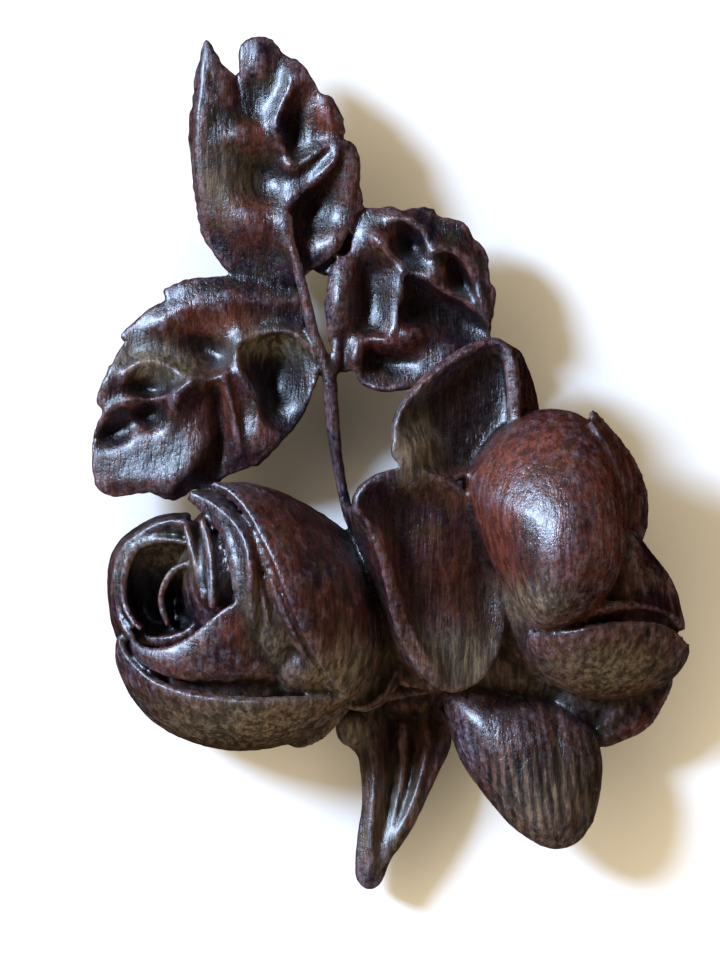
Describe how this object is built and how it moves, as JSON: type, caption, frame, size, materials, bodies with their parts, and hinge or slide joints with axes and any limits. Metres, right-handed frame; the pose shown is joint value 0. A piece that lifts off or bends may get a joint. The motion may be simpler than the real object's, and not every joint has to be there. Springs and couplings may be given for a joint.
{
  "type": "carved wooden rosette",
  "caption": "Dark waxed wood carving of roses, petals and toothed leaves on a thin stalk, flat at the back to be fixed as an ornament on furniture, a frame or a panel",
  "frame": {"origin": "on the flat back, behind the middle of the roses", "axes": "+X to the right and +Y to the leaf tip seen from the front, +Z out of the flat back to the viewer; it lies on its back as in the picture"},
  "size_m": [0.1127, 0.1614, 0.0443],
  "materials": {
    "wood": "dark, worn wax over a brown stain, with dust in the hollows"
  },
  "bodies": {
    "root": {"rose_spray": "wood"}
  },
  "joints": []
}
